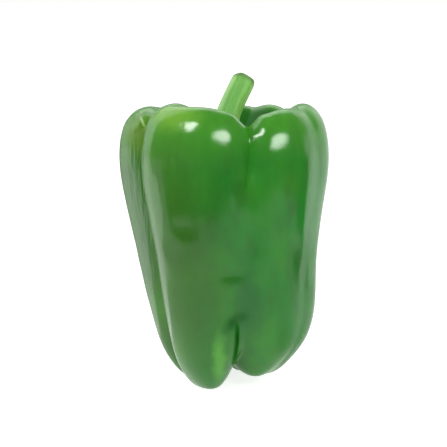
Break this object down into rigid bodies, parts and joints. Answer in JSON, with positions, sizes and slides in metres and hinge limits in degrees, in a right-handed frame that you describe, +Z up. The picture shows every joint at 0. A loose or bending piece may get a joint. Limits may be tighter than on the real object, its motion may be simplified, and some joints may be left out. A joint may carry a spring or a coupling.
{
  "type": "bell pepper",
  "caption": "Green bell pepper standing upright: a tall lobed fruit that tapers to rounded feet, with a toothed calyx in the hollow at its top and a ridged, leaning cut stem.",
  "frame": {"origin": "on the ground under the middle of the pepper's bounding box", "axes": "+Z up from the feet to the stem, -Y towards the side the picture shows, +X to that picture's right"},
  "size_m": [0.0858, 0.08, 0.1252],
  "materials": {
    "skin": "waxy gloss",
    "calyx": "matt",
    "stem": "satin"
  },
  "bodies": {
    "root": {"fruit": "skin", "calyx": "calyx", "stem": "stem"}
  },
  "joints": []
}
